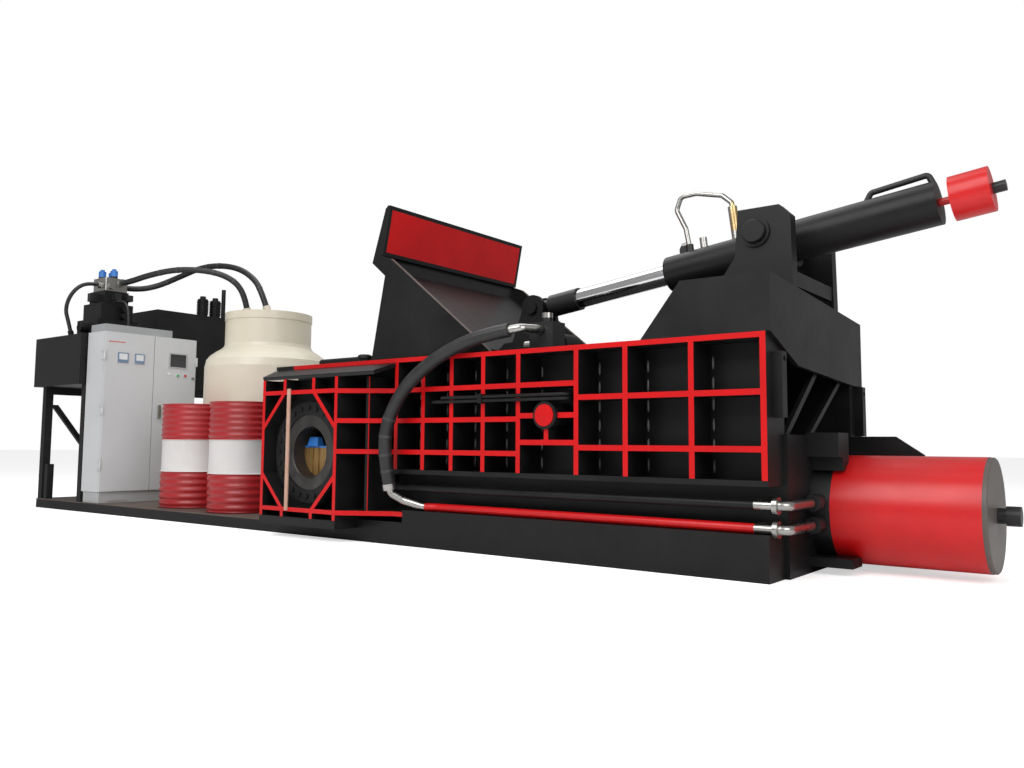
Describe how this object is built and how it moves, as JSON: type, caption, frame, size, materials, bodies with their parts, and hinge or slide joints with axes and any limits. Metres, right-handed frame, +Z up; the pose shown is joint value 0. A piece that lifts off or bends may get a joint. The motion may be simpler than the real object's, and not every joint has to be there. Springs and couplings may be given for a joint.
{
  "type": "recycling baler",
  "caption": "Horizontal recycling baler with a hinged press lid and its cylinder, bolted side port, main ram, oil tank on legs, cabinet, cooling tower and drums on one base.",
  "frame": {"origin": "middle of the underside of the base, between the ends of the steel base and on the machine's middle plane", "axes": "+X along the machine to the main cylinder, +Y away from the front with the side port, +Z up"},
  "size_m": [8.352, 1.8502, 2.4107],
  "materials": {
    "black_paint": "satin",
    "red_paint": "gloss",
    "deck_paint": "matt",
    "cabinet_grey": "satin",
    "crown_grey": "matt",
    "steel": "satin",
    "dark_steel": "matt",
    "chrome": "polished",
    "cream_shell": "gloss",
    "drum_red": "satin",
    "blue_plastic": "satin",
    "guide_brown": "satin",
    "strip_tan": "matt",
    "hose_rubber": "matt",
    "button_green": "gloss",
    "button_red": "gloss"
  },
  "bodies": {
    "baler": {"skid_frame": "black_paint", "deck_plate": "deck_paint", "press_base": "black_paint", "chamber_liners": "dark_steel", "front_wall": "black_paint", "rear_wall": "black_paint", "end_wall": "black_paint", "roof_plates": "black_paint", "port_frame": "black_paint", "port_roof": "black_paint", "port_bolt_ring": "black_paint", "port_ring": "dark_steel", "guide_sheet": "guide_brown", "blue_cap": "blue_plastic", "gauge_strip": "strip_tan", "door_posts": "black_paint", "main_cylinder": "red_paint", "cylinder_mount": "black_paint", "top_stand": "black_paint", "trunnion_brackets": "black_paint", "hinge_blocks": "black_paint", "sight_port": "red_paint", "red_pipe": "red_paint", "black_pipes": "black_paint", "pipe_fittings": "steel", "oil_tank": "black_paint", "tank_legs": "black_paint", "pump_motors": "black_paint", "valve_stack": "black_paint", "valve_manifold": "steel", "solenoid_caps": "blue_plastic", "return_filters": "black_paint", "cabinet_body": "cabinet_grey", "cabinet_crown": "crown_grey", "cooling_tower": "cream_shell", "drum_left": "drum_red", "drum_right": "drum_red", "main_hose": "hose_rubber", "tower_hose_near": "hose_rubber", "tower_hose_far": "hose_rubber", "valve_hose": "hose_rubber"},
    "lid": {"lid_frame": "black_paint", "sign_board": "red_paint", "press_box": "black_paint"},
    "lid_cylinder": {"lid_barrel": "black_paint", "trunnion_ring": "black_paint", "lid_cap": "red_paint", "lid_pipework": "steel"},
    "lid_rod_body": {"lid_rod": "chrome"},
    "main_ram_body": {"main_ram": "steel"},
    "side_ram_body": {"side_ram": "dark_steel"},
    "discharge_door": {"rear_door": "black_paint"},
    "latch": {"door_latch": "red_paint"},
    "left_door": {"cabinet_door_left": "cabinet_grey"},
    "right_door": {"cabinet_door_right": "cabinet_grey"},
    "handle": {"cabinet_handle": "steel"},
    "green_button": {"start_button": "button_green"},
    "red_button": {"stop_button": "button_red"},
    "fan": {"tower_fan": "steel"},
    "plunger": {"limit_plunger": "black_paint"}
  },
  "joints": [
    {"name": "lid_hinge", "type": "hinge", "parent": "baler", "child": "lid", "pos_m": [2.25, 0, 1.258], "axis": [0, 1, 0], "range_deg": [0, 55]},
    {"name": "cylinder_tilt", "type": "hinge", "parent": "baler", "child": "lid_cylinder", "pos_m": [3.475, 0, 1.78], "axis": [0, 1, 0], "range_deg": [0, 9.5]},
    {"name": "lid_rod_slide", "type": "slide", "parent": "lid_cylinder", "child": "lid_rod_body", "axis": [0.9914, 0, 0.1305], "range_m": [0, 0.46]},
    {"name": "main_ram_slide", "type": "slide", "parent": "baler", "child": "main_ram_body", "axis": [-1, 0, 0], "range_m": [0, 1.1]},
    {"name": "side_ram_slide", "type": "slide", "parent": "baler", "child": "side_ram_body", "axis": [0, 1, 0], "range_m": [0, 1.04]},
    {"name": "rear_door_hinge", "type": "hinge", "parent": "baler", "child": "discharge_door", "pos_m": [0.925, 0.655, 0.65], "axis": [0, 0, -1], "range_deg": [0, 100]},
    {"name": "latch_turn", "type": "hinge", "parent": "discharge_door", "child": "latch", "pos_m": [0.11, 0.69, 0.59], "axis": [0, 1, 0], "range_deg": [0, 90]},
    {"name": "left_door_hinge", "type": "hinge", "parent": "baler", "child": "left_door", "pos_m": [-2.494, -0.778, 0.9], "axis": [0, 0, -1], "range_deg": [0, 110]},
    {"name": "right_door_hinge", "type": "hinge", "parent": "baler", "child": "right_door", "pos_m": [-2.494, 0.156, 0.9], "axis": [0, 0, 1], "range_deg": [0, 60]},
    {"name": "handle_turn", "type": "hinge", "parent": "right_door", "child": "handle", "pos_m": [-2.5, -0.233, 0.975], "axis": [1, 0, 0], "range_deg": [0, 90]},
    {"name": "start_press", "type": "slide", "parent": "right_door", "child": "green_button", "axis": [-1, 0, 0], "range_m": [0, 0.004], "stiffness_N_per_m": 400},
    {"name": "stop_press", "type": "slide", "parent": "right_door", "child": "red_button", "axis": [-1, 0, 0], "range_m": [0, 0.004], "stiffness_N_per_m": 400},
    {"name": "fan_spin", "type": "hinge", "parent": "baler", "child": "fan", "pos_m": [-1.555, 0.3, 1.64], "axis": [0, 0, 1], "continuous": true},
    {"name": "plunger_press", "type": "slide", "parent": "baler", "child": "plunger", "axis": [0, 0, -1], "range_m": [0, 0.006], "stiffness_N_per_m": 3000}
  ],
  "couplings": [
    {"joint": "cylinder_tilt", "follows": "lid_hinge", "ratio": 0.17},
    {"joint": "lid_rod_slide", "follows": "lid_hinge", "m_per_rad": 0.455}
  ]
}
